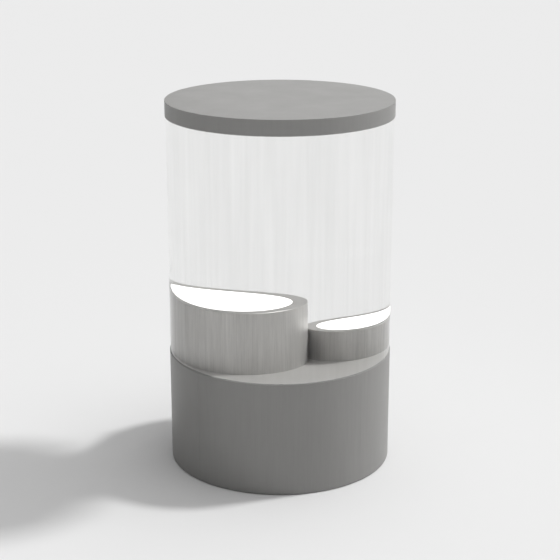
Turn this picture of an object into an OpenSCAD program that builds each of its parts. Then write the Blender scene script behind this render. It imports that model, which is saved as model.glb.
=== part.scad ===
// Free-standing round display case: a drum plinth, a glass cylinder with a rear door, a flat cap,
// and two lit pedestals on the deck. The origin is the centre of the footprint on the floor.
// +Z is up, -Y is the viewing side, and the door and the service hatch face +Y.
// Polar places are given as a radius and an angle from +X, so the rear is 90 degrees.

/* [Case] */
// Outer diameter of the plinth and the cap
case_d = 1100; // [1090:1:1110]
// Height of the deck above the floor
plinth_h = 560; // [520:5:700]
// Height of clear glass between deck and cap
glass_h = 1175; // [900:5:1300]
// Height of the cap
cap_h = 75; // [70:1:110]
// Sheet thickness of the plinth skin and the cap
skin_t = 2; // [1.5:0.1:2]
// Thickness of the deck and soffit boards
board_t = 18; // [16:1:18]

/* [Glass] */
// Thickness of the curved glass
glass_t = 10; // [8:1:10]
// How far the glass stands inside the outer diameter
glass_inset = 3; // [3:0.1:3.4]
// Depth of glass held below the deck and above the soffit
glass_bite = 14; // [10:1:14]
// Half of the door's arc
door_half = 58; // [54:1:60]
// Gap between the door and the fixed pane, along the arc
door_gap = 6; // [6:0.5:8]

/* [Left pedestal] */
// Centre, right of the axis
left_x = -194; // [-196:1:-190]
// Centre, behind the axis
left_y = -69; // [-75:1:-60]
// Outer radius
left_r = 288; // [270:1:290]
// Height above the deck
left_h = 306; // [250:1:340]
// Radius of the light panel
left_panel_r = 236; // [200:1:238]

/* [Right pedestal] */
// Centre, right of the axis
right_x = 257; // [255:1:262]
// Centre, behind the axis
right_y = 80; // [75:1:90]
// Outer radius
right_r = 182; // [170:1:182]
// Height above the deck
right_h = 153; // [130:1:200]
// Radius of the light panel
right_panel_r = 146; // [120:1:148]

/* [Service] */
// Half of the hatch opening's arc
hatch_half = 22; // [18:1:22]
// Bottom of the hatch opening
hatch_z0 = 150; // [150:1:170]
// Top of the hatch opening
hatch_z1 = 450; // [400:1:450]
// How far the levelling feet can be wound out
foot_travel = 15; // [5:1:20]

/* [Hidden] */

$fn = 64;
round_fn = 180;
eps = 1;
rear = 90;
fit_gap = 0.2;

// Colours
panel_grey = [0.44, 0.43, 0.42];
pedestal_grey = [0.55, 0.55, 0.54];
steel = [0.62, 0.63, 0.65];
clear = [0.85, 0.92, 0.94, 0.3];
rubber = [0.12, 0.12, 0.12];
brass = [0.75, 0.6, 0.3];
black = [0.08, 0.08, 0.08];
glow = [1, 1, 0.98];

// Shell, glass and board radii
case_r = case_d / 2;
skin_in = case_r - skin_t;
inner_r = skin_in - fit_gap;
glass_out = case_r - glass_inset;
glass_in = glass_out - glass_t;
board_r = glass_in - 2;
ring_in = board_r - 65;

// Heights
skin_z0 = 3;
skin_joint = 0.3;
plate_z = 24;
plate_t = 6;
plate_top = plate_z + plate_t;
deck_z = plinth_h - board_t;
ring_t = 8;
ring_z = deck_z - ring_t;
soffit_z = plinth_h + glass_h;
top_z = soffit_z + cap_h;
mid_z = (plinth_h + soffit_z) / 2;
glass_z0 = plinth_h - glass_bite;
glass_z1 = soffit_z + glass_bite;

// Feet and posts, at the four diagonals
corners = [225, 315, 135, 45];
foot_r = 440;
stem_r = 6;
boss_r = 16;
boss_z0 = 16;
boss_z1 = 46;
stem_z1 = boss_z1 + foot_travel + 9;
post_w = 40;
post_t = 3;

// Door: the pivot is inboard of the glass and the lock is near the free edge
gap_deg = door_gap / glass_in * 180 / PI;
seal_deg = gap_deg / 2;
door_a0 = rear - door_half;
door_a1 = rear + door_half;
fixed_half = door_half + gap_deg;
slot_half = fixed_half - 0.02;
door_clear = 4;
pivot_r = glass_in - 13;
pivot_a = door_a1 - 7.65;
pin_r = 5;
bush_r = 8;
block_z0 = plinth_h + 2;
block_h = 50;
lock_a = door_a0 + 3.83;
lock_r = pivot_r;
plug_r = 7;
plug_z = plinth_h + 46;
bolt_r = 4;
bolt_travel = 12;
strike_r = bolt_r + 2.5;

// Hatch
hatch_edge = 0.3;
hatch_gap = 3;
hatch_pivot_r = 538;
hatch_pivot_a = rear + hatch_half - hatch_edge - 1.67;
hatch_pin_r = 4;
hatch_pin_l = 14;
hatch_block_h = 20;
hatch_lock_a = rear - hatch_half + 5;
hatch_lock_z = (hatch_z0 + hatch_z1) / 2;
frame_plate = 8;
jamb_in = 526;
jamb_out = inner_r - 0.1;
cam_drop = 10;

// Mains inlet and switch, in a recess below the hatch
inlet_z = 90;
recess_w = 80;
recess_h = 60;
recess_x0 = 500;
recess_x1 = 546;
socket_y = 16;
switch_y = -22;
rocker_tilt = 8;

// Pedestals
ped_wall = 3;
ped_top = 12;
panel_t = 6;
panel_gap = 0.5;
ledge_w = 8;
flange_w = 25;
flange_t = 8;
pan_drop = 60;
left_screws = [19.6, 139.6, 259.6];
right_screws = [77.3, 197.3, 317.3];

// Internal leads: hand-set points, smoothed by a spline
lead_r = 4;
lead_steps = 6;
driver_size = [180, 70, 42];
driver_at = [-20, -155, plate_top];
left_drop = [-240, -100];
right_drop = [262, 60];
mains_path = [
    [-16, 475.8, 90], [-14, 440, 86], [-6, 400, 60], [0, 340, 38], [0, 200, 36],
    [0, 60, 36], [-10, -20, 40], [-20, -70, 50], [-20, -119.3, 52]
];
left_path = [
    [-110.7, -155, 52], [-150, -155, 54], [-200, -135, 80], [left_drop[0], left_drop[1], 160],
    [left_drop[0], left_drop[1], 300], [left_drop[0], left_drop[1], 430],
    [left_drop[0], left_drop[1], plinth_h], [left_drop[0], left_drop[1], 680],
    [left_drop[0], left_drop[1], plinth_h + left_h - pan_drop - 0.2]
];
right_path = [
    [71.2, -155, 52], [110, -155, 54], [190, -80, 90], [right_drop[0], right_drop[1], 180],
    [right_drop[0], right_drop[1], 320], [right_drop[0], right_drop[1], 440],
    [right_drop[0], right_drop[1], plinth_h],
    [right_drop[0], right_drop[1], plinth_h + right_h - pan_drop - 0.2]
];

// Helpers -------------------------------------------------------------------------------------

// A full ring with a square section
module ring(ri, ro, z0, z1) {
    difference() {
        translate([0, 0, z0]) cylinder(h = z1 - z0, r = ro, $fn = round_fn);
        translate([0, 0, z0 - eps]) cylinder(h = z1 - z0 + 2 * eps, r = ri, $fn = round_fn);
    }
}

// Part of a ring, from angle a0 to angle a1
module arc(ri, ro, z0, z1, a0, a1) {
    rotate([0, 0, a0])
        rotate_extrude(angle = a1 - a0, $fn = round_fn)
            translate([ri, z0]) square([ro - ri, z1 - z0]);
}

// Puts its children at a radius and an angle, with local x pointing outward
module at(r, a, z = 0) {
    rotate([0, 0, a]) translate([r, 0, z]) children();
}

// Mirrors its children from the deck side to the cap side
module at_top() {
    translate([0, 0, 2 * mid_z]) mirror([0, 0, 1]) children();
}

// An upright cylinder between two heights
module rod(r, z0, z1) {
    translate([0, 0, z0]) cylinder(h = z1 - z0, r = r);
}

// A cylinder along local x between two distances
module cross_rod(r, x0, x1) {
    translate([x0, 0, 0]) rotate([0, 90, 0]) cylinder(h = x1 - x0, r = r);
}

// A screw pointing up from its head's underside at z0
module screw(shank_r, shank_l, head_r, head_h) {
    difference() {
        union() {
            cylinder(h = head_h, r = head_r);
            cylinder(h = head_h + shank_l, r = shank_r);
        }
        translate([0, 0, -eps]) cylinder(h = head_h * 0.6 + eps, r = shank_r * 0.9, $fn = 6);
    }
}

// Catmull-Rom spline through the points of a lead's route
function spline(p0, p1, p2, p3, t) =
    0.5 * (2 * p1 + (p2 - p0) * t + (2 * p0 - 5 * p1 + 4 * p2 - p3) * t * t
        + (3 * p1 - p0 - 3 * p2 + p3) * t * t * t);
function smooth(p) = let (n = len(p) - 1) concat(
    [for (i = [0:n - 1], k = [0:lead_steps - 1])
        spline(p[max(i - 1, 0)], p[i], p[i + 1], p[min(i + 2, n)], k / lead_steps)],
    [p[n]]
);
function unit(v) = v / norm(v);
function tangents(p) = let (n = len(p) - 1)
    [for (i = [0:n]) unit(p[min(i + 1, n)] - p[max(i - 1, 0)])];
function carry(t, i, v, out) = i == len(t) ? out
    : let (u = unit(v - (v * t[i]) * t[i])) carry(t, i + 1, u, concat(out, [u]));

// A round lead swept along its route
module lead(route, r = lead_r, sides = 8) {
    p = smooth(route);
    t = tangents(p);
    u = carry(t, 0, [0.3, 0.2, 1], []);
    n = len(p);
    pts = [for (i = [0:n - 1], k = [0:sides - 1])
        p[i] + r * (cos(360 * k / sides) * u[i] + sin(360 * k / sides) * cross(t[i], u[i]))];
    sides_f = [for (i = [0:n - 2], k = [0:sides - 1]) let (j = (k + 1) % sides)
        [i * sides + k, (i + 1) * sides + k, (i + 1) * sides + j, i * sides + j]];
    caps = [[for (k = [0:sides - 1]) k], [for (k = [0:sides - 1]) n * sides - 1 - k]];
    polyhedron(points = pts, faces = concat(sides_f, caps));
}

// Plinth --------------------------------------------------------------------------------------

cable_hole = [120, 340];
cable_hole_r = 30;

module base_plate() color(steel) difference() {
    translate([0, 0, plate_z]) cylinder(h = plate_t, r = inner_r, $fn = round_fn);
    for (a = corners) at(foot_r, a) rod(boss_r + 0.1, plate_z - eps, plate_top + eps);
    translate([cable_hole[0], cable_hole[1], 0]) rod(cable_hole_r, plate_z - eps, plate_top + eps);
}

module foot_bosses() color(steel) for (a = corners) at(foot_r, a) difference() {
    rod(boss_r, boss_z0, boss_z1);
    rod(stem_r + 0.05, boss_z0 - eps, boss_z1 + eps);
}

module foot_lock_nuts() color(steel) for (a = corners) at(foot_r, a) difference() {
    translate([0, 0, 9]) cylinder(h = boss_z0 - 9, r = 11, $fn = 6);
    rod(stem_r + 0.05, 8, boss_z0 + eps);
}

// Rubber-soled pad on a threaded stem, turned with a hexagon key from above
module foot(a) color(black) at(foot_r, a) difference() {
    rotate_extrude() polygon([
        [0, 0], [28, 0], [30, 2], [30, 5], [14, 8.5], [stem_r, 8.5], [stem_r, stem_z1],
        [0, stem_z1]
    ]);
    translate([0, 0, stem_z1 - 8]) cylinder(h = 8 + eps, r = 3.2, $fn = 6);
}

module post(a) color(steel) at(foot_r, a) difference() {
    translate([-post_w / 2, -post_w / 2, plate_top]) cube([post_w, post_w, ring_z - plate_top]);
    translate([-post_w / 2 + post_t, -post_w / 2 + post_t, plate_top - eps])
        cube([post_w - 2 * post_t, post_w - 2 * post_t, ring_z - plate_top + 2 * eps]);
}

deck_screw_r = 2.5;
deck_screw_at = 505;
deck_screw_angles = [for (k = [0:7]) 22.5 + 45 * k];

module glazing_ring() color(steel) difference() {
    ring(ring_in, inner_r, ring_z, deck_z);
    for (a = deck_screw_angles) at(deck_screw_at, a)
        rod(deck_screw_r + 0.1, ring_z - eps, deck_z + eps);
}

bearer_x = 150;
bearer_w = 40;
bearer_h = 20;
bearer_l = 872;
bearer_t = 2;

module deck_bearers() color(steel) for (s = [-1, 1]) translate([s * bearer_x, 0, deck_z - bearer_h])
    difference() {
        translate([-bearer_w / 2, -bearer_l / 2, 0]) cube([bearer_w, bearer_l, bearer_h]);
        translate([-bearer_w / 2 + bearer_t, -bearer_l / 2 - eps, bearer_t])
            cube([bearer_w - 2 * bearer_t, bearer_l + 2 * eps, bearer_h - 2 * bearer_t]);
    }

// One of the four rolled sheets, which meet edge to edge behind the posts
module skin_panel(a) {
    joint_deg = skin_joint / case_r * 90 / PI;
    arc(skin_in, case_r, skin_z0, plinth_h, a + joint_deg, a + 90 - joint_deg);
}

module plinth_skin() color(panel_grey) for (a = [135, 225, 315]) skin_panel(a);

// The rear sheet is cut out for the hatch and the mains recess
module rear_skin() color(panel_grey) difference() {
    skin_panel(45);
    arc(skin_in - eps, case_r + eps, hatch_z0, hatch_z1, rear - hatch_half, rear + hatch_half);
    at(0, rear, inlet_z) translate([skin_in - 15, -recess_w / 2 + 2, -recess_h / 2 + 2])
        cube([30, recess_w - 4, recess_h - 4]);
}

module deck_panel() color(panel_grey) difference() {
    translate([0, 0, deck_z]) cylinder(h = board_t, r = board_r, $fn = round_fn);
    at(pivot_r, pivot_a) rod(bush_r, deck_z - eps, plinth_h + eps);
    at(lock_r, lock_a) rod(strike_r, plinth_h - bolt_travel - 4, plinth_h + eps);
    for (d = [left_drop, right_drop]) translate([d[0], d[1], 0])
        rod(grommet_r, deck_z - eps, plinth_h + eps);
    for (a = deck_screw_angles) at(deck_screw_at, a)
        rod(deck_screw_r, deck_z - eps, deck_z + 12.5);
    pedestal_screw_places() rod(pedestal_screw_r + 0.2, deck_z - eps, plinth_h + eps);
}

module deck_screws() color(steel) for (a = deck_screw_angles) at(deck_screw_at, a, ring_z - 4)
    screw(deck_screw_r, ring_t + 12, 5, 4);

// U-section of rubber that holds an edge of the fixed pane, down to height z0
module glass_gasket() color(rubber) rotate([0, 0, rear + fixed_half])
    rotate_extrude(angle = 360 - 2 * fixed_half, $fn = round_fn) polygon([
        [board_r + 0.1, deck_z], [inner_r - 0.1, deck_z], [inner_r - 0.1, plinth_h - 0.5],
        [glass_out, plinth_h - 0.5], [glass_out, glass_z0], [glass_in, glass_z0],
        [glass_in, plinth_h - 0.5], [board_r + 0.1, plinth_h - 0.5]
    ]);

module lower_glass_gasket() glass_gasket();
module upper_glass_gasket() at_top() glass_gasket();

// Closes the glass slot below the door, level with the deck, and again above it
module threshold() arc(board_r + 0.1, inner_r - 0.1, deck_z + 0.1, plinth_h,
    rear - slot_half, rear + slot_half);

module door_threshold() color(panel_grey) {
    threshold();
    at_top() threshold();
}

// Service hatch -------------------------------------------------------------------------------

module hatch_frame() color(steel) difference() {
    union() {
        for (z = [hatch_z0 - frame_plate - 2, hatch_z1 + 2])
            arc(jamb_in, jamb_out, z, z + frame_plate, rear - hatch_half - 4, rear + hatch_half + 3);
        arc(jamb_in, jamb_out, hatch_z0 - 4, hatch_z1 + 4,
            rear - hatch_half - 4, rear - hatch_half + 1);
    }
    at(hatch_pivot_r, hatch_pivot_a)
        rod(hatch_pin_r + 0.05, hatch_z0 - frame_plate - 3, hatch_z0 + eps);
    at(hatch_pivot_r, hatch_pivot_a)
        rod(hatch_pin_r + 0.05, hatch_z1 - eps, hatch_z1 + frame_plate + 3);
}

module service_hatch() color(panel_grey) difference() {
    arc(skin_in, case_r, hatch_z0 + hatch_gap, hatch_z1 - hatch_gap,
        rear - hatch_half + hatch_edge, rear + hatch_half - hatch_edge);
    at(0, hatch_lock_a, hatch_lock_z) cross_rod(9.6, skin_in - 15, case_r + eps);
}

// Block welded behind the hatch, with a pin that turns in the frame
module hatch_pivot(block_z, pin_z) {
    arc(jamb_in + 4, skin_in, block_z, block_z + hatch_block_h,
        hatch_pivot_a - 1.3, hatch_pivot_a + 1.3);
    at(hatch_pivot_r, hatch_pivot_a) rod(hatch_pin_r, pin_z, pin_z + hatch_pin_l);
}

module hatch_pivots() color(steel) {
    hatch_pivot(hatch_z0 + hatch_gap, hatch_z0 + hatch_gap + 2 - hatch_pin_l);
    hatch_pivot(hatch_z1 - hatch_gap - hatch_block_h, hatch_z1 - hatch_gap - 2);
}

module hatch_lock_barrel() color(steel) at(0, hatch_lock_a, hatch_lock_z) difference() {
    union() {
        cross_rod(9.5, jamb_in - 1, case_r - 0.2);
        translate([skin_in - 6.5, 0, 0]) rotate([0, 90, 0]) cylinder(h = 5.9, r = 14, $fn = 6);
    }
    cross_rod(6.05, jamb_in - 3, case_r + eps);
}

// Key plug with its cam, hanging down when the hatch is unlocked
module hatch_lock_cam() color(steel) at(0, hatch_lock_a, hatch_lock_z) difference() {
    union() {
        cross_rod(6, jamb_in - cam_drop, case_r - 0.6);
        translate([jamb_in - cam_drop, -7, -58]) cube([4, 14, 65]);
    }
    translate([case_r - 5, -0.7, -4]) cube([8, 1.4, 8]);
}

// Mains ---------------------------------------------------------------------------------------

// Recessed box, open at the back of the case
module inlet_housing() color(black) at(0, rear, inlet_z) difference() {
    translate([recess_x0, -recess_w / 2, -recess_h / 2])
        cube([recess_x1 - recess_x0, recess_w, recess_h]);
    translate([recess_x0 + 2, -recess_w / 2 + 2, -recess_h / 2 + 2])
        cube([recess_x1, recess_w - 4, recess_h - 4]);
    translate([recess_x0 - eps, socket_y - 14, -10.5]) cube([4, 28, 21]);
    translate([recess_x0 - eps, switch_y - 7, -10.5]) cube([4, 14, 21]);
}

// Three-pin appliance inlet
module power_inlet() color(black) at(0, rear, inlet_z) translate([0, socket_y, 0]) {
    difference() {
        union() {
            translate([recess_x0 - 20, -13.9, -10.4]) cube([22, 27.8, 20.8]);
            translate([recess_x0 + 2, -16, -13]) cube([2, 32, 26]);
        }
        translate([recess_x0 - 14, -12, -9]) cube([20, 24, 18]);
    }
    for (p = [[-7, -3], [7, -3], [0, 2]])
        translate([recess_x0 - 24, p[0] - 1, p[1]]) cube([24, 2, 4]);
}

module switch_body() color(black) at(0, rear, inlet_z) translate([0, switch_y, 0]) difference() {
    union() {
        translate([recess_x0 - 16, -6.9, -10.4]) cube([18, 13.8, 20.8]);
        translate([recess_x0 + 2, -9, -13]) cube([2, 18, 26]);
    }
    translate([recess_x0 - 12, -5.5, -9]) cube([20, 11, 18]);
    translate([recess_x0 - 2, -6.5, 0]) rotate([-90, 0, 0]) cylinder(h = 13, r = 1.55);
}

// Rocker on its cross pin, tilted to the off side at rest
module rocker_switch() color(black) at(0, rear, inlet_z) translate([recess_x0 - 2, switch_y, 0])
    rotate([0, -rocker_tilt, 0]) {
        translate([0, 5.2, 0]) rotate([90, 0, 0]) linear_extrude(10.4)
            polygon([[-3, -3], [-3, 3], [2, 7.8], [7, 7.8], [5.6, 0], [7, -7.8], [2, -7.8]]);
        translate([0, -6.3, 0]) rotate([-90, 0, 0]) cylinder(h = 12.6, r = 1.5);
    }

module led_driver() color(steel) translate(driver_at) difference() {
    translate([-driver_size[0] / 2, -driver_size[1] / 2, 0]) cube(driver_size);
    for (k = [-8:8]) translate([k * 10 - 2, -driver_size[1] / 2 - eps, driver_size[2] - 5])
        cube([4, driver_size[1] + 2 * eps, 5 + eps]);
}

module mains_lead() color(black) lead(mains_path);
module left_light_lead() color(black) lead(left_path);
module right_light_lead() color(black) lead(right_path);

grommet_r = 9;

module lead_grommets() color(rubber) for (d = [left_drop, right_drop]) translate([d[0], d[1], 0])
    difference() {
        union() {
            rod(grommet_r - 0.1, deck_z - 2, plinth_h + 2);
            rod(grommet_r + 3, deck_z - 2, deck_z);
            rod(grommet_r + 3, plinth_h, plinth_h + 2);
        }
        rod(lead_r + 0.3, deck_z - 3, plinth_h + 3);
    }

// Glass and door ------------------------------------------------------------------------------

module fixed_glass() color(clear)
    arc(glass_in, glass_out, glass_z0, glass_z1, rear + fixed_half, rear + 360 - fixed_half);

fixing_r = 4;
fixing_z = block_z0 + 28;
fixing_angles = [pivot_a - 2.4, pivot_a + 2.4];

module door_glass() color(clear) difference() {
    arc(glass_in, glass_out, plinth_h + door_clear, soffit_z - door_clear, door_a0, door_a1);
    for (a = fixing_angles) at(0, a, fixing_z) cross_rod(fixing_r + 1, glass_in - 5, glass_out + 5);
    for (a = fixing_angles) at(0, a, 2 * mid_z - fixing_z)
        cross_rod(fixing_r + 1, glass_in - 5, glass_out + 5);
    at(0, lock_a, plug_z) cross_rod(plug_r + 1, glass_in - 5, glass_out + 5);
}

module door_edge_seals() color(clear) {
    arc(glass_in, glass_out, plinth_h + 0.3, soffit_z - 0.3,
        rear - slot_half, rear - slot_half + seal_deg);
    arc(glass_in, glass_out, plinth_h + 0.3, soffit_z - 0.3,
        rear + slot_half - seal_deg, rear + slot_half);
}

module door_sweep() arc(glass_in + 1, glass_out - 1, plinth_h + 0.5, plinth_h + door_clear,
    door_a0 + 0.2, door_a1 - 0.2);

module door_sweeps() color(clear) {
    door_sweep();
    at_top() door_sweep();
}

// Block bonded and bolted to the inside of the pane, bored for the pivot pin
module pivot_block() color(steel) difference() {
    arc(pivot_r - 12, glass_in, block_z0, block_z0 + block_h, pivot_a - 3.8, pivot_a + 3.8);
    at(pivot_r, pivot_a) rod(pin_r, block_z0 - eps, block_z0 + 36);
    for (a = fixing_angles) at(0, a, fixing_z) cross_rod(fixing_r, pivot_r - 4, glass_in + 5);
}

module lower_pivot_block() pivot_block();
module upper_pivot_block() at_top() pivot_block();

module pivot_pin() at(pivot_r, pivot_a) rod(pin_r, plinth_h - 15, block_z0 + 36);

module pivot_pins() color(steel) {
    pivot_pin();
    at_top() pivot_pin();
}

module pivot_bush() at(pivot_r, pivot_a) difference() {
    union() {
        rod(bush_r, deck_z, plinth_h + 1.5);
        rod(bush_r + 3, plinth_h, plinth_h + 1.5);
    }
    rod(pin_r + 0.05, deck_z - eps, plinth_h + 3);
}

module pivot_bushes() color(brass) {
    pivot_bush();
    at_top() pivot_bush();
}

// Bolt through the pane into the block, with a flat disc head outside
module glass_bolt(a) at(0, a, fixing_z) {
    cross_rod(fixing_r, pivot_r - 4, glass_out);
    cross_rod(12, glass_out + 0.15, case_r - 0.4);
    cross_rod(fixing_r, glass_out, glass_out + 0.2);
}

module glass_bolts() color(steel) for (a = fixing_angles) {
    glass_bolt(a);
    at_top() glass_bolt(a);
}

module lock_case() color(steel) difference() {
    arc(lock_r - 12, glass_in, block_z0, block_z0 + 62, lock_a - 2.8, lock_a + 2.8);
    at(lock_r, lock_a) rod(bolt_r + 0.05, block_z0 - eps, plug_z);
    at(0, lock_a, plug_z) cross_rod(plug_r + 0.05, lock_r - 20, glass_in + 5);
}

// Key plug with the driving lever on its inner end
module lock_plug() color(steel) at(0, lock_a, plug_z) difference() {
    union() {
        cross_rod(plug_r, lock_r - 16, case_r - 0.8);
        translate([lock_r - 16, -5, -5]) cube([3.5, 10, 20]);
    }
    translate([case_r - 5, -0.7, -4.5]) cube([8, 1.4, 9]);
}

module lock_bolt() color(steel) at(lock_r, lock_a)
    rotate_extrude() polygon([
        [0, block_z0 + 0.5], [bolt_r - 1, block_z0 + 0.5], [bolt_r, block_z0 + 1.5],
        [bolt_r, plug_z - plug_r - 2], [0, plug_z - plug_r - 2]
    ]);

// Cap -----------------------------------------------------------------------------------------

cap_plate_t = 3;
cap_screw_r = 3;
cap_screw_at = 505;
cap_screw_angles = [for (k = [0:5]) 60 * k];
cap_ring_z = 2 * mid_z - deck_z;
cap_under = top_z - cap_plate_t;

// Welded pan: flat top and deep rim in one piece
module cap_pan() color(panel_grey) rotate_extrude($fn = round_fn) polygon([
    [0, cap_under], [skin_in, cap_under], [skin_in, soffit_z], [case_r, soffit_z],
    [case_r, top_z - 1], [case_r - 1, top_z], [0, top_z]
]);

module cap_ring() color(steel) difference() {
    ring(ring_in, inner_r, cap_ring_z, cap_ring_z + ring_t);
    for (a = cap_screw_angles) at(cap_screw_at, a)
        rod(cap_screw_r + 0.1, cap_ring_z - eps, cap_ring_z + ring_t + eps);
}

module cap_spacers() color(steel) for (a = cap_screw_angles) at(cap_screw_at, a) difference() {
    rod(11, cap_ring_z + ring_t, cap_under);
    rod(cap_screw_r, cap_ring_z + ring_t - eps, cap_ring_z + ring_t + 25);
}

module cap_screws() color(steel) for (a = cap_screw_angles) at(cap_screw_at, a, soffit_z) difference() {
    rotate_extrude() polygon([
        [0, 0.2], [5.8, 0.2], [cap_screw_r, 3], [cap_screw_r, 44], [0, 44]
    ]);
    translate([0, 0, -eps]) cylinder(h = 3.2, r = 2, $fn = 6);
}

module soffit_panel() color(panel_grey) difference() {
    translate([0, 0, soffit_z]) cylinder(h = board_t, r = board_r, $fn = round_fn);
    at_top() at(pivot_r, pivot_a) rod(bush_r, deck_z - eps, plinth_h + eps);
    for (a = cap_screw_angles) at(cap_screw_at, a, soffit_z) rotate_extrude() polygon([
        [0, -eps], [6.1, -eps], [6.1, 0.1], [cap_screw_r + 0.1, 3.2],
        [cap_screw_r + 0.1, board_t + eps], [0, board_t + eps]
    ]);
}

// Pedestals -----------------------------------------------------------------------------------

pedestal_screw_r = 3;
pedestal_screw_l = board_t + 7;

module at_left() translate([left_x, left_y, plinth_h]) children();
module at_right() translate([right_x, right_y, plinth_h]) children();

// Puts its children on each pedestal fixing, at the case's own heights
module pedestal_screw_places() {
    for (a = left_screws) translate([left_x, left_y, 0])
        at(left_r - flange_w / 2 - 1, a) children();
    for (a = right_screws) translate([right_x, right_y, 0])
        at(right_r - flange_w / 2 - 1, a) children();
}

// Drum with an inward foot flange and a top ring whose ledge carries the light panel
module pedestal_shell(ro, rp, h) {
    seat_r = rp + panel_gap;
    rotate_extrude($fn = round_fn) polygon([
        [ro, 0], [ro, h - 2], [ro - 2, h], [seat_r, h], [seat_r, h - panel_t],
        [seat_r - ledge_w, h - panel_t], [seat_r - ledge_w, h - ped_top],
        [ro - ped_wall, h - ped_top], [ro - ped_wall, flange_t], [ro - flange_w, flange_t],
        [ro - flange_w, 0]
    ]);
}

module pedestal_body(ro, rp, h, angles) difference() {
    pedestal_shell(ro, rp, h);
    for (a = angles) at(ro - flange_w / 2 - 1, a) rod(pedestal_screw_r, -eps, flange_t + eps);
}

module light_panel(rp, h) translate([0, 0, h - panel_t])
    rotate_extrude($fn = round_fn)
        polygon([[0, 0], [rp, 0], [rp, panel_t - 0.6], [rp - 0.6, panel_t], [0, panel_t]]);

// Shallow dish that hangs below the ledge and carries the modules
module light_pan(rp, h, hole) difference() {
    rotate_extrude($fn = round_fn) polygon([
        [0, h - pan_drop], [rp - 12, h - pan_drop], [rp - 12, h - ped_top - 1.5],
        [rp - 2, h - ped_top - 1.5], [rp - 2, h - ped_top],
        [rp - 13.5, h - ped_top], [rp - 13.5, h - pan_drop + 1.5], [0, h - pan_drop + 1.5]
    ]);
    translate([hole[0], hole[1], h - pan_drop - eps]) cylinder(h = 4, r = 3);
}

// One board with three lenses
module led_module() {
    translate([-22, -7, 0]) cube([44, 14, 2]);
    for (x = [-15, 0, 15]) translate([x, 0, 2]) cylinder(h = 2.5, r1 = 4, r2 = 3, $fn = 24);
}

// Rings of modules, spaced evenly outward from the centre
module led_rings(rp, h, step) translate([0, 0, h - pan_drop + 1.5])
    for (r = [step:step:rp - 40]) {
        count = floor(2 * PI * r / 90);
        for (k = [0:count - 1]) rotate([0, 0, 360 * k / count + r]) translate([0, r, 0])
            led_module();
    }

module left_pedestal() color(pedestal_grey)
    at_left() pedestal_body(left_r, left_panel_r, left_h, left_screws);
module left_light_panel() color(glow) at_left() light_panel(left_panel_r, left_h);
module left_light_pan() color(steel)
    at_left() light_pan(left_panel_r, left_h, left_drop - [left_x, left_y]);
module left_led_modules() color(glow) at_left() led_rings(left_panel_r, left_h, 58);

module right_pedestal() color(pedestal_grey)
    at_right() pedestal_body(right_r, right_panel_r, right_h, right_screws);
module right_light_panel() color(glow) at_right() light_panel(right_panel_r, right_h);
module right_light_pan() color(steel)
    at_right() light_pan(right_panel_r, right_h, right_drop - [right_x, right_y]);
module right_led_modules() color(glow) at_right() led_rings(right_panel_r, right_h, 50);

module pedestal_screws() color(steel) pedestal_screw_places()
    translate([0, 0, deck_z - 5]) screw(pedestal_screw_r, pedestal_screw_l, 6, 5);

// Output --------------------------------------------------------------------------------------

base_plate();
foot_bosses();
foot_lock_nuts();
foot(corners[0]);  // foot_front_left
foot(corners[1]);  // foot_front_right
foot(corners[2]);  // foot_rear_left
foot(corners[3]);  // foot_rear_right
post(corners[0]);  // post_front_left
post(corners[1]);  // post_front_right
post(corners[2]);  // post_rear_left
post(corners[3]);  // post_rear_right
glazing_ring();
deck_bearers();
plinth_skin();
rear_skin();
deck_panel();
deck_screws();
lower_glass_gasket();
door_threshold();
hatch_frame();
service_hatch();
hatch_pivots();
hatch_lock_barrel();
hatch_lock_cam();
inlet_housing();
power_inlet();
switch_body();
rocker_switch();
led_driver();
mains_lead();
left_light_lead();
right_light_lead();
lead_grommets();
fixed_glass();
door_glass();
door_edge_seals();
door_sweeps();
lower_pivot_block();
upper_pivot_block();
pivot_pins();
pivot_bushes();
glass_bolts();
lock_case();
lock_plug();
lock_bolt();
cap_pan();
cap_ring();
cap_spacers();
cap_screws();
soffit_panel();
upper_glass_gasket();
left_pedestal();
left_light_panel();
left_light_pan();
left_led_modules();
right_pedestal();
right_light_panel();
right_light_pan();
right_led_modules();
pedestal_screws();
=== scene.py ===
"""Looks for the round display case: camera, light, materials and small detail pieces.

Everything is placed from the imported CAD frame, in metres, +Z up, seen from -Y.
"""
import math

import bmesh
import bpy
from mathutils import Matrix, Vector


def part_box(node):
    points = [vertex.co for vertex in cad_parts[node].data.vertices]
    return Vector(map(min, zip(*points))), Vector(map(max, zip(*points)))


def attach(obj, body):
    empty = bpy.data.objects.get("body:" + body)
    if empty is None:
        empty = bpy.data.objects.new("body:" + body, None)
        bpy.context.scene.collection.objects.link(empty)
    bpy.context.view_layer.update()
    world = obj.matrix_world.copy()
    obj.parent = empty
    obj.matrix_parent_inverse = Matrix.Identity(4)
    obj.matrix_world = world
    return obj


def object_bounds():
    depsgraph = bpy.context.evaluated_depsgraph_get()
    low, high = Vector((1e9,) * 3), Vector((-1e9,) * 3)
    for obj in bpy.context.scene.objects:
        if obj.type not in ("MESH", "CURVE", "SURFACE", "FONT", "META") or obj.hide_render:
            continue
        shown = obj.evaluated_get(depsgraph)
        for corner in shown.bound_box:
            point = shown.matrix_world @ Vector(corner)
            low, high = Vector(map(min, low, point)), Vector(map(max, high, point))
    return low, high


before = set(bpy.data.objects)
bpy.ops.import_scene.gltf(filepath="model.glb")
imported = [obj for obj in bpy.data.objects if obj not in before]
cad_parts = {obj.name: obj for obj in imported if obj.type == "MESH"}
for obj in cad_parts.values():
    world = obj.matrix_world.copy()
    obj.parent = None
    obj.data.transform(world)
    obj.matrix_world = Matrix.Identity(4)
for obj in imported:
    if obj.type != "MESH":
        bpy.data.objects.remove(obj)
cad_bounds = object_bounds()
scene = bpy.context.scene

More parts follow.
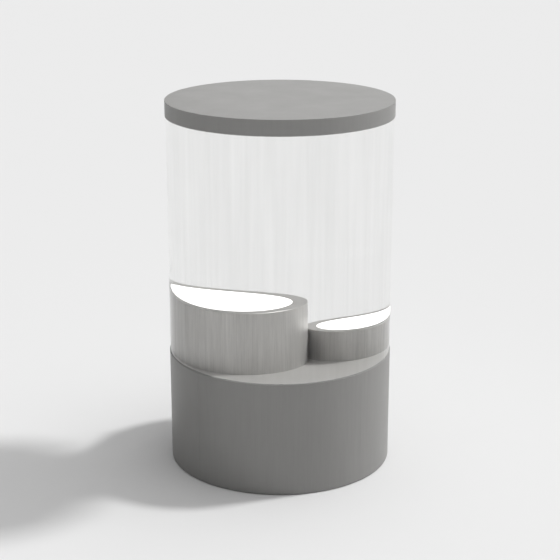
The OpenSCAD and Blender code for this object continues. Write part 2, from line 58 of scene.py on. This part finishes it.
# Driving dimensions, all read from the frame ---------------------------------------------------

CASE_LOW, CASE_HIGH = cad_bounds
CASE_R = (CASE_HIGH[0] - CASE_LOW[0]) / 2
DECK_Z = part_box("deck_panel")[1].z
SOFFIT_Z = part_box("soffit_panel")[0].z


def centre_of(node):
    """The middle of a node's box."""
    low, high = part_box(node)
    return (low + high) / 2


# Camera ----------------------------------------------------------------------------------------

CAMERA_DISTANCE = 12.228
CAMERA_HEIGHT = 5.424
CAMERA_PITCH = 17.178
CAMERA_FOV = 22.27


def add_camera():
    """The camera stands in front, its place given in case radii."""
    data = bpy.data.cameras.new("camera")
    data.angle = math.radians(CAMERA_FOV)
    data.clip_end = 400
    camera = bpy.data.objects.new("camera", data)
    camera.location = (0, -CAMERA_DISTANCE * CASE_R, CAMERA_HEIGHT * CASE_R)
    camera.rotation_euler = (math.radians(90 - CAMERA_PITCH), 0, 0)
    scene.collection.objects.link(camera)
    scene.camera = camera


# Light and floor -------------------------------------------------------------------------------

# Angles in degrees, distances and heights in metres
SUN_ELEVATION = 49.6
SUN_AZIMUTH = 18.5
SUN_STRENGTH = 1.76
SUN_SOFTNESS = 7
SKY_STRENGTH = 2.68
SKY_POWER = 5
SKY_TILT = 10
SKY_FLOOR = 0.02
HORIZON_LEVEL = 0.85
FLOOR_ALBEDO = 0.8
FLOOR_R = 150
CARD_DISTANCE = 12
CARD_BASE = 0.01
CARD_HEIGHT = 9
CARD_STEPS = 24
# Each card's first and last direction and its brightness
BACK_CARD = (50, 98, 0.8)
FRONT_CARD = (205, 335, 1.0)


def add_sun():
    """Soft key light from the right and slightly behind."""
    data = bpy.data.lights.new("key", "SUN")
    data.energy = SUN_STRENGTH
    data.angle = math.radians(SUN_SOFTNESS)
    sun = bpy.data.objects.new("key", data)
    sun.rotation_euler = (0, math.radians(90 - SUN_ELEVATION), math.radians(SUN_AZIMUTH))
    scene.collection.objects.link(sun)


def add_sky():
    """An overhead softbox, leaning to the key side, with a pale backdrop down to the horizon."""
    lean = math.radians(SKY_TILT)
    turn = math.radians(SUN_AZIMUTH)
    middle = (math.sin(lean) * math.cos(turn), math.sin(lean) * math.sin(turn), math.cos(lean))
    world = bpy.data.worlds.new("studio")
    scene.world = world
    n = Nodes(world, "ShaderNodeOutputWorld")
    across = n.add("ShaderNodeTexCoord").outputs["Generated"]
    toward = n.math("MAXIMUM", n.vector("DOT_PRODUCT", across, middle), 0.0)
    level = n.math("MULTIPLY_ADD", n.math("POWER", toward, SKY_POWER), SKY_STRENGTH, SKY_FLOOR)
    softbox = n.add("ShaderNodeBackground", Strength=level).outputs[0]
    pale = (HORIZON_LEVEL, HORIZON_LEVEL, HORIZON_LEVEL, 1)
    backdrop = n.add("ShaderNodeBackground", Color=pale).outputs[0]
    rays = n.add("ShaderNodeLightPath").outputs
    seen = n.math("MAXIMUM", rays["Is Camera Ray"], rays["Is Transmission Ray"])
    n.finish(n.mix(seen, softbox, backdrop))


def add_card(name, from_deg, to_deg, level):
    """A tall curved white card that only shows as a reflection, like a studio bounce card."""
    mesh = bpy.data.meshes.new(name)
    bm = bmesh.new()
    columns = []
    for step in range(CARD_STEPS + 1):
        angle = math.radians(from_deg + (to_deg - from_deg) * step / CARD_STEPS)
        x, y = CARD_DISTANCE * math.cos(angle), CARD_DISTANCE * math.sin(angle)
        columns.append((bm.verts.new((x, y, CARD_BASE)), bm.verts.new((x, y, CARD_HEIGHT))))
    for (low_a, high_a), (low_b, high_b) in zip(columns, columns[1:]):
        bm.faces.new((low_a, low_b, high_b, high_a))
    bm.to_mesh(mesh)
    bm.free()
    n = new_material(name)
    light = n.add("ShaderNodeEmission", Color=(1, 1, 1, 1), Strength=level)
    mesh.materials.append(n.finish(light.outputs[0]))
    card = bpy.data.objects.new(name, mesh)
    scene.collection.objects.link(card)
    card.visible_camera = False
    card.visible_diffuse = False
    card.visible_transmission = False
    card.visible_shadow = False
    card.visible_volume_scatter = False


def add_floor():
    """A wide pale disc that fills the view."""
    mesh = bpy.data.meshes.new("floor")
    bm = bmesh.new()
    bmesh.ops.create_circle(bm, cap_ends=True, segments=96, radius=FLOOR_R)
    bm.to_mesh(mesh)
    bm.free()
    floor = bpy.data.objects.new("floor", mesh)
    scene.collection.objects.link(floor)
    n = new_material("floor")
    pale = (FLOOR_ALBEDO, FLOOR_ALBEDO, FLOOR_ALBEDO, 1)
    mesh.materials.append(n.finish(n.add("ShaderNodeBsdfDiffuse", Color=pale).outputs[0]))


# Node helpers ----------------------------------------------------------------------------------


class Nodes:
    """A small wrapper that builds the node tree of a material or a world."""

    def __init__(self, owner, output_kind):
        self.owner = owner
        owner.use_nodes = True
        self.tree = owner.node_tree
        self.tree.nodes.clear()
        self.output = self.add(output_kind)

    def add(self, kind, **values):
        """A node, with its inputs set by name or linked to an output socket."""
        node = self.tree.nodes.new(kind)
        for key, value in values.items():
            self.put(node.inputs[key.replace("_", " ")], value)
        return node

    def put(self, socket, value):
        """Links an output to the socket, or sets the socket's value."""
        if isinstance(value, bpy.types.NodeSocket):
            self.tree.links.new(value, socket)
        else:
            socket.default_value = value

    def math(self, operation, a, b=0.0, c=0.0):
        node = self.tree.nodes.new("ShaderNodeMath")
        node.operation = operation
        for socket, value in zip(node.inputs, (a, b, c)):
            self.put(socket, value)
        return node.outputs[0]

    def vector(self, operation, a, b=(0, 0, 0)):
        node = self.tree.nodes.new("ShaderNodeVectorMath")
        node.operation = operation
        self.put(node.inputs[0], a)
        self.put(node.inputs[1], b)
        return node.outputs["Value" if operation in ("DOT_PRODUCT", "LENGTH") else "Vector"]

    def place(self):
        """Object coordinates, which are the case's own metres at rest."""
        return self.add("ShaderNodeTexCoord").outputs["Object"]

    def split(self, vector):
        return self.add("ShaderNodeSeparateXYZ", Vector=vector).outputs

    def join(self, x, y, z):
        return self.add("ShaderNodeCombineXYZ", X=x, Y=y, Z=z).outputs[0]

    def wrapped(self, centre=(0, 0, 0), radius=CASE_R):
        """Coordinates unrolled from a drum: arc length, depth and height."""
        x, y, z = self.split(self.vector("SUBTRACT", self.place(), tuple(centre)))
        arc = self.math("MULTIPLY", self.math("ARCTAN2", y, x), radius)
        depth = self.vector("LENGTH", self.join(x, y, 0.0))
        return self.join(arc, depth, z)

    def stretched(self, vector, scale):
        return self.vector("MULTIPLY", vector, scale)

    def noise(self, vector, scale, detail=2.0, rough=0.5):
        node = self.add("ShaderNodeTexNoise", Vector=vector, Scale=scale, Detail=detail)
        node.inputs["Roughness"].default_value = rough
        return node.outputs["Fac"]

    def span(self, value, low, high, from_low=0.3, from_high=0.7):
        """Maps a noise value onto a range."""
        node = self.add("ShaderNodeMapRange", Value=value)
        node.inputs["From Min"].default_value = from_low
        node.inputs["From Max"].default_value = from_high
        node.inputs["To Min"].default_value = low
        node.inputs["To Max"].default_value = high
        return node.outputs[0]

    def blend(self, factor, a, b):
        """A colour between a and b."""
        node = self.tree.nodes.new("ShaderNodeMix")
        node.data_type = "RGBA"
        self.put(node.inputs[0], factor)
        for socket, value in ((node.inputs[6], a), (node.inputs[7], b)):
            self.put(socket, (*value, 1) if isinstance(value, tuple) else value)
        return node.outputs[2]

    def bump(self, height, strength, distance, normal=None):
        node = self.add("ShaderNodeBump", Height=height)
        node.inputs["Strength"].default_value = strength
        node.inputs["Distance"].default_value = distance
        if normal is not None:
            self.put(node.inputs["Normal"], normal)
        return node.outputs[0]

    def principled(self, **values):
        return self.add("ShaderNodeBsdfPrincipled", **values).outputs[0]

    def mix(self, factor, a, b):
        """A mix of two shaders."""
        node = self.tree.nodes.new("ShaderNodeMixShader")
        self.put(node.inputs[0], factor)
        self.put(node.inputs[1], a)
        self.put(node.inputs[2], b)
        return node.outputs[0]

    def finish(self, shader):
        """Links the shader to the output and gives back the material or world."""
        self.tree.links.new(shader, self.output.inputs["Surface"])
        return self.owner


def new_material(name):
    """The node helper of a new material."""
    return Nodes(bpy.data.materials.new(name), "ShaderNodeOutputMaterial")


def tint(colour, factor):
    """The colour, scaled."""
    return tuple(c * factor for c in colour)


# Materials -------------------------------------------------------------------------------------

CASE_PAINT = (0.342, 0.338, 0.33)
PEDESTAL_PAINT = (0.53, 0.52, 0.505)
BOARD_PAINT = (0.465, 0.457, 0.443)
PAINT_SPECULAR = 0.2
GLASS_IOR = 1.5
GLASS_GLOSS = 0.9
INNER_GLOSS = 0.12
GLOW_STRENGTH = 1.3
LED_STRENGTH = 6
LED_BOARD_T = 0.0021


def paint(name, colour, centre=(0, 0, 0), radius=CASE_R, painted_streak_contrast=0.035, metallic=0.0):
    """Satin powder coat on rolled sheet: orange peel, faint upright rolling undulations in the bump,
    soft mottling, and upright light and dark streaks painted into the colour as painted reflections.
    """
    n = new_material(name)
    drum = n.wrapped(centre, radius)
    facing = n.split(n.add("ShaderNodeNewGeometry").outputs["Normal"])[2]
    upright = n.math("SUBTRACT", 1.0, n.math("ABSOLUTE", facing))
    coarse = n.noise(n.stretched(drum, (1, 0.3, 0.12)), 22, 6, 0.75)
    fine = n.noise(n.stretched(drum, (1, 0.3, 0.02)), 160, 3, 0.7)
    undulation_and_painted_streaks = n.math("MULTIPLY", n.math("SUBTRACT", n.math("ADD", coarse, fine), 1.0), upright)
    mottle = n.noise(n.place(), 7, 4, 0.6)
    peel = n.noise(n.place(), 620, 2)
    # The upright undulations also lighten and darken the colour: painted reflection streaks on the
    # side walls, real undulation only in the bump.
    painted_streaks_and_mottle = n.math("ADD", undulation_and_painted_streaks, n.span(mottle, -0.025, 0.025))
    body = n.blend(n.span(painted_streaks_and_mottle, 0, 1, -0.3, 0.3), tint(colour, 1 - painted_streak_contrast),
                   tint(colour, 1 + painted_streak_contrast))
    dust = n.noise(n.place(), 1400, 0)
    body = n.blend(n.span(dust, 0, 0.05, 0.6, 0.75), body, tint(colour, 1.6))
    normal = n.bump(undulation_and_painted_streaks, 0.12, 0.0006)
    normal = n.bump(peel, 0.12, 0.0004, normal)
    shader = n.add("ShaderNodeBsdfPrincipled", Base_Color=body,
                   Roughness=n.span(mottle, 0.36, 0.46), Normal=normal)
    shader.inputs["Metallic"].default_value = metallic
    shader.inputs["Specular IOR Level"].default_value = PAINT_SPECULAR
    return n.finish(shader.outputs[0])


def board(name, colour):
    """Sprayed board: finer than powder coat, with a trace of roller nap."""
    n = new_material(name)
    cloud = n.noise(n.place(), 5, 5, 0.6)
    nap = n.noise(n.place(), 900, 3, 0.6)
    body = n.blend(n.span(cloud, 0, 1), tint(colour, 0.97), tint(colour, 1.03))
    return n.finish(n.principled(
        Base_Color=body, Roughness=n.span(cloud, 0.45, 0.55),
        Normal=n.bump(nap, 0.15, 0.0003),
    ))


def metal(name, colour, rough=(0.28, 0.42), grain=(1, 1, 0.05), metallic=1.0):
    """Drawn or ground metal with grain along one axis and dull handling patches."""
    n = new_material(name)
    lines = n.noise(n.stretched(n.place(), grain), 1500, 3)
    patches = n.noise(n.place(), 22, 4, 0.65)
    body = n.blend(n.span(patches, 0, 1), tint(colour, 0.88), colour)
    rougher = n.math("ADD", n.span(lines, rough[0], rough[1]), n.span(patches, 0, 0.08))
    shader = n.add("ShaderNodeBsdfPrincipled", Base_Color=body, Roughness=rougher,
                   Normal=n.bump(lines, 0.12, 0.0002))
    shader.inputs["Metallic"].default_value = metallic
    return n.finish(shader.outputs[0])


def primer(name, colour):
    """Matt primer on the hidden steelwork, scuffed where it has been handled."""
    n = new_material(name)
    scuffs = n.noise(n.stretched(n.place(), (1, 1, 0.25)), 40, 6, 0.7)
    grain = n.noise(n.place(), 1100, 2)
    body = n.blend(n.span(scuffs, 0, 1, 0.62, 0.8), colour, tint(colour, 1.5))
    return n.finish(n.principled(
        Base_Color=body, Roughness=n.span(scuffs, 0.5, 0.72),
        Normal=n.bump(grain, 0.2, 0.0003),
    ))


def soft(name, colour, rough=(0.6, 0.8), scale=700):
    """Rubber or moulded plastic with a fine matt texture."""
    n = new_material(name)
    grain = n.noise(n.place(), scale, 3)
    smudge = n.noise(n.place(), 30, 3)
    body = n.blend(n.span(smudge, 0, 1), tint(colour, 0.85), tint(colour, 1.15))
    return n.finish(n.principled(
        Base_Color=body, Roughness=n.span(smudge, *rough), Normal=n.bump(grain, 0.25, 0.0003),
    ))


def seal(name):
    """Clear soft strip: mostly see-through, with a milky edge."""
    n = new_material(name)
    haze = n.noise(n.place(), 60, 3)
    clear = n.add("ShaderNodeBsdfTransparent").outputs[0]
    strip = n.principled(
        Base_Color=n.blend(n.span(haze, 0, 1), (0.75, 0.78, 0.78), (0.9, 0.92, 0.92)),
        Roughness=n.span(haze, 0.25, 0.4),
    )
    return n.finish(n.mix(n.span(haze, 0.2, 0.3), clear, strip))


def clear_glass(name):
    """Curved pane that lets lamps through and shines by Fresnel, mostly on its outer face. The
    outer face bends what is seen through it, and the inner face doesn't bend it back."""
    n = new_material(name)
    wisps = n.noise(n.stretched(n.wrapped(), (1, 1, 0.025)), 45, 4)
    sheer = n.blend(n.span(wisps, 0, 1), (0.973, 0.974, 0.972), (0.998, 0.998, 0.997))
    clear = n.add("ShaderNodeBsdfTransparent", Color=sheer).outputs[0]
    gloss = n.add("ShaderNodeBsdfGlossy", Color=(1, 1, 1, 1), Roughness=0.0).outputs[0]
    mirror = n.add("ShaderNodeFresnel", IOR=GLASS_IOR).outputs[0]
    entering = n.math("SUBTRACT", 1.0, n.add("ShaderNodeNewGeometry").outputs["Backfacing"])
    coords = n.add("ShaderNodeTexCoord")
    x, y, _ = n.split(coords.outputs["Object"])
    radial = n.vector("DOT_PRODUCT", n.vector("NORMALIZE", n.join(x, y, 0.0)),
                      coords.outputs["Normal"])
    outer = n.math("MULTIPLY", n.math("GREATER_THAN", radial, 0.5), entering)
    inner = n.math("MULTIPLY", entering, INNER_GLOSS)
    sheen = n.math("MULTIPLY", mirror, n.math("MAXIMUM", outer, inner))
    sheen = n.math("MULTIPLY", sheen, n.span(wisps, 0.65 * GLASS_GLOSS, 1.35 * GLASS_GLOSS))
    bend = n.add("ShaderNodeBsdfRefraction", Color=sheer, Roughness=0.0,
                 IOR=GLASS_IOR).outputs[0]
    pane = n.mix(outer, n.mix(sheen, clear, gloss), n.mix(sheen, bend, gloss))
    lamp = n.add("ShaderNodeBsdfTransparent", Color=(0.985, 0.986, 0.985, 1)).outputs[0]
    rays = n.add("ShaderNodeLightPath")
    return n.finish(n.mix(rays.outputs["Is Shadow Ray"], pane, lamp))


def glow(name, centre, radius, strength):
    """Opal sheet lit from below, a touch brighter over the modules than at its rim."""
    n = new_material(name)
    drum = n.wrapped(centre, radius)
    depth = n.split(drum)[1]
    cloud = n.noise(n.place(), 14, 2)
    level = n.math("ADD", n.span(depth, 1.0, 0.86, radius * 0.6, radius), n.span(cloud, -0.02, 0.02))
    shader = n.add("ShaderNodeBsdfPrincipled", Roughness=n.span(cloud, 0.3, 0.4))
    shader.inputs["Base Color"].default_value = (0.9, 0.9, 0.88, 1)
    n.put(shader.inputs["Emission Color"], n.blend(level, (0, 0, 0), (1.0, 0.995, 0.98)))
    shader.inputs["Emission Strength"].default_value = strength
    return n.finish(shader.outputs[0])


def led(name, lens_z):
    """White module boards with warm phosphor lenses that stand above lens_z."""
    n = new_material(name)
    height = n.split(n.place())[2]
    lens = n.math("GREATER_THAN", height, lens_z)
    grain = n.noise(n.place(), 500, 2)
    body = n.blend(lens, (0.82, 0.83, 0.82), (0.95, 0.85, 0.45))
    shader = n.add("ShaderNodeBsdfPrincipled", Base_Color=body,
                   Roughness=n.span(grain, 0.3, 0.5))
    n.put(shader.inputs["Emission Color"], n.blend(lens, (0, 0, 0), (1.0, 0.97, 0.88)))
    shader.inputs["Emission Strength"].default_value = LED_STRENGTH
    return n.finish(shader.outputs[0])


def dress(mat, *nodes):
    """Gives a material to every slot of these CAD nodes."""
    for node in nodes:
        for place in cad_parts[node].material_slots:
            place.material = mat


def dress_case():
    """Every material of the case outside the two pedestals."""
    posts = [f"post_{a}_{b}" for a in ("front", "rear") for b in ("left", "right")]
    feet = [f"foot_{a}_{b}" for a in ("front", "rear") for b in ("left", "right")]
    dress(paint("case_paint", CASE_PAINT), "plinth_skin", "rear_skin", "service_hatch",
          "cap_pan", "door_threshold")
    dress(board("board_paint", BOARD_PAINT), "deck_panel", "soffit_panel")
    dress(primer("primer_grey", (0.2, 0.205, 0.21)), "base_plate", "foot_bosses",
          "glazing_ring", "deck_bearers", "hatch_frame", "cap_ring", "cap_spacers", *posts)
    dress(metal("bright_zinc", (0.72, 0.73, 0.75), (0.22, 0.34)), "foot_lock_nuts",
          "deck_screws", "hatch_pivots", "hatch_lock_barrel", "hatch_lock_cam", "pivot_pins",
          "glass_bolts", "lock_plug", "lock_bolt", "cap_screws", "pedestal_screws")
    dress(metal("satin_steel", (0.6, 0.6, 0.6), (0.32, 0.45)), "lower_pivot_block",
          "upper_pivot_block", "lock_case")
    dress(metal("brass", (0.78, 0.57, 0.27), (0.25, 0.35)), "pivot_bushes")
    dress(metal("aluminium", (0.7, 0.71, 0.72), (0.35, 0.5), (0.05, 1, 1)), "led_driver",
          "left_light_pan", "right_light_pan")
    dress(soft("foot_rubber", (0.035, 0.035, 0.036)), *feet)
    dress(soft("gasket_grey", (0.42, 0.42, 0.41)), "lower_glass_gasket", "upper_glass_gasket",
          "lead_grommets")
    dress(soft("black_plastic", (0.03, 0.03, 0.032), (0.35, 0.5)), "inlet_housing",
          "power_inlet", "switch_body", "rocker_switch")
    dress(soft("lead_sheath", (0.045, 0.045, 0.05), (0.4, 0.55)), "mains_lead",
          "left_light_lead", "right_light_lead")
    dress(clear_glass("clear_glass"), "fixed_glass", "door_glass")
    dress(seal("clear_seal"), "door_edge_seals", "door_sweeps")


def dress_pedestal(side):
    """Paint, lit panel and modules of one pedestal."""
    low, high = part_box(f"{side}_pedestal")
    panel_low, panel_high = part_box(f"{side}_light_panel")
    led_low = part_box(f"{side}_led_modules")[0]
    centre = centre_of(f"{side}_pedestal")
    # The pedestal's strong upright streaks in its colour are painted reflections.
    dress(paint(f"{side}_pedestal_paint", PEDESTAL_PAINT, centre, (high.x - low.x) / 2,
                painted_streak_contrast=0.13, metallic=0.3), f"{side}_pedestal")
    dress(glow(f"{side}_glow", centre, (panel_high.x - panel_low.x) / 2, GLOW_STRENGTH),
          f"{side}_light_panel")
    dress(led(f"{side}_led", led_low.z + LED_BOARD_T), f"{side}_led_modules")


# Detail pieces ---------------------------------------------------------------------------------

CLEARANCE = 0.0001
GLASS_T = 0.01
# Directions in degrees between which the fixed pane stands
FIXED_ARC = (149.2, 390.8)
BEAD_SIZE = 0.003
BEAD_STEPS = 5
BEAD_SWEEP_STEPS = 160
LEAD_R = 0.004
# Where each light lead drops to the base plate, in x and y
LEFT_DROP = (-0.24, -0.1)
RIGHT_DROP = (0.262, 0.06)
TIE_HEIGHTS = (0.34, 0.42)
TIE_T = 0.0012
TIE_HALF = 0.0018
TIE_HEAD = 0.005
TIE_HEAD_REACH = 0.0022
TIE_STEPS = 32
# The saddles' places along the mains lead, and the lead's height
MAINS_SADDLES = (0.24, 0.14)
MAINS_HEIGHT = 0.036
SADDLE_GAP = 0.0004
SADDLE_T = 0.0014
SADDLE_HALF = 0.004
SADDLE_FOOT = 0.011
SADDLE_FOOT_T = 0.0015
SADDLE_STEPS = 12


def piece(name, bm, mat):
    """Turns a bmesh into a named piece that rides on the case."""
    bmesh.ops.recalc_face_normals(bm, faces=bm.faces)
    mesh = bpy.data.meshes.new(name)
    bm.to_mesh(mesh)
    bm.free()
    mesh.materials.append(mat)
    made = bpy.data.objects.new(name, mesh)
    scene.collection.objects.link(made)
    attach(made, "case")


def lathe(bm, profile, arc, steps, centre=(0, 0)):
    """Sweeps a closed (radius, height) profile about an upright axis, open or full circle."""
    full = arc[1] - arc[0] >= 360
    rows = []
    for step in range(steps if full else steps + 1):
        angle = math.radians(arc[0] + (arc[1] - arc[0]) * step / steps)
        rows.append([
            bm.verts.new((centre[0] + r * math.cos(angle), centre[1] + r * math.sin(angle), z))
            for r, z in profile
        ])
    for a, b in zip(rows, rows[1:] + (rows[:1] if full else [])):
        for i in range(len(profile)):
            j = (i + 1) % len(profile)
            bm.faces.new((a[i], a[j], b[j], b[i]))
    if not full:
        bm.faces.new(rows[0])
        bm.faces.new(reversed(rows[-1]))


def add_glass_beads():
    """Quarter-round beads of clear sealant where the fixed pane meets the deck and the soffit."""
    low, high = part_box("fixed_glass")
    wall = (high.x - low.x) / 2 - GLASS_T - CLEARANCE
    mat = seal("bead_seal")
    for name, z, up in (("deck_bead", DECK_Z, 1), ("soffit_bead", SOFFIT_Z, -1)):
        base = z + up * CLEARANCE
        profile = [(wall, base)]
        for step in range(BEAD_STEPS + 1):
            angle = math.radians(90 * step / BEAD_STEPS)
            profile.append((wall - BEAD_SIZE * math.sin(angle),
                            base + up * BEAD_SIZE * math.cos(angle)))
        bm = bmesh.new()
        lathe(bm, profile, FIXED_ARC, BEAD_SWEEP_STEPS)
        piece(name, bm, mat)


def add_lead_ties():
    """Nylon ties round the two light leads, each with its square head."""
    mat = soft("tie_nylon", (0.04, 0.04, 0.042), (0.35, 0.5))
    inner = LEAD_R + CLEARANCE
    outer = inner + TIE_T
    for side, drop in (("left", LEFT_DROP), ("right", RIGHT_DROP)):
        bm = bmesh.new()
        for z in TIE_HEIGHTS:
            low, high = z - TIE_HALF, z + TIE_HALF
            lathe(bm, [(inner, low), (outer, low), (outer, high), (inner, high)], (0, 360),
                  TIE_STEPS, drop)
            head = bmesh.ops.create_cube(bm, size=TIE_HEAD)["verts"]
            reach = (drop[0], drop[1] + outer + TIE_HEAD_REACH, z)
            bmesh.ops.translate(bm, verts=head, vec=reach)
        piece(f"{side}_lead_ties", bm, mat)


def saddle_arch(radius, from_deg, to_deg):
    """Points of a half round over the mains lead, in width and height."""
    points = []
    for step in range(SADDLE_STEPS + 1):
        angle = math.radians(from_deg + (to_deg - from_deg) * step / SADDLE_STEPS)
        points.append((radius * math.cos(angle), MAINS_HEIGHT + radius * math.sin(angle)))
    return points


def add_mains_saddles():
    """Arched clips that hold the mains lead down on the base plate."""
    plate_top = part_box("base_plate")[1].z
    foot_top = plate_top + SADDLE_FOOT_T
    inner = LEAD_R + SADDLE_GAP
    outer = inner + SADDLE_T
    section = [(-SADDLE_FOOT, plate_top), (-SADDLE_FOOT, foot_top), (-outer, foot_top)]
    section += saddle_arch(outer, 180, 0)
    section += [(outer, foot_top), (SADDLE_FOOT, foot_top), (SADDLE_FOOT, plate_top)]
    section.append((inner, plate_top))
    section += saddle_arch(inner, 0, 180)
    section.append((-inner, plate_top))
    bm = bmesh.new()
    for y in MAINS_SADDLES:
        front, back = [[bm.verts.new((x, y + end * SADDLE_HALF, z)) for x, z in section]
                       for end in (-1, 1)]
        for i in range(len(section)):
            j = (i + 1) % len(section)
            bm.faces.new((front[i], front[j], back[j], back[i]))
        bm.faces.new(front)
        bm.faces.new(reversed(back))
    mat = soft("saddle_nylon", (0.04, 0.04, 0.042), (0.35, 0.5))
    piece("mains_saddles", bm, mat)


add_camera()
add_sun()
add_sky()
add_card("back_card", *BACK_CARD)
add_card("front_card", *FRONT_CARD)
add_floor()
scene.view_settings.view_transform = "Standard"
dress_case()
for side in ("left", "right"):
    dress_pedestal(side)
add_glass_beads()
add_lead_ties()
add_mains_saddles()
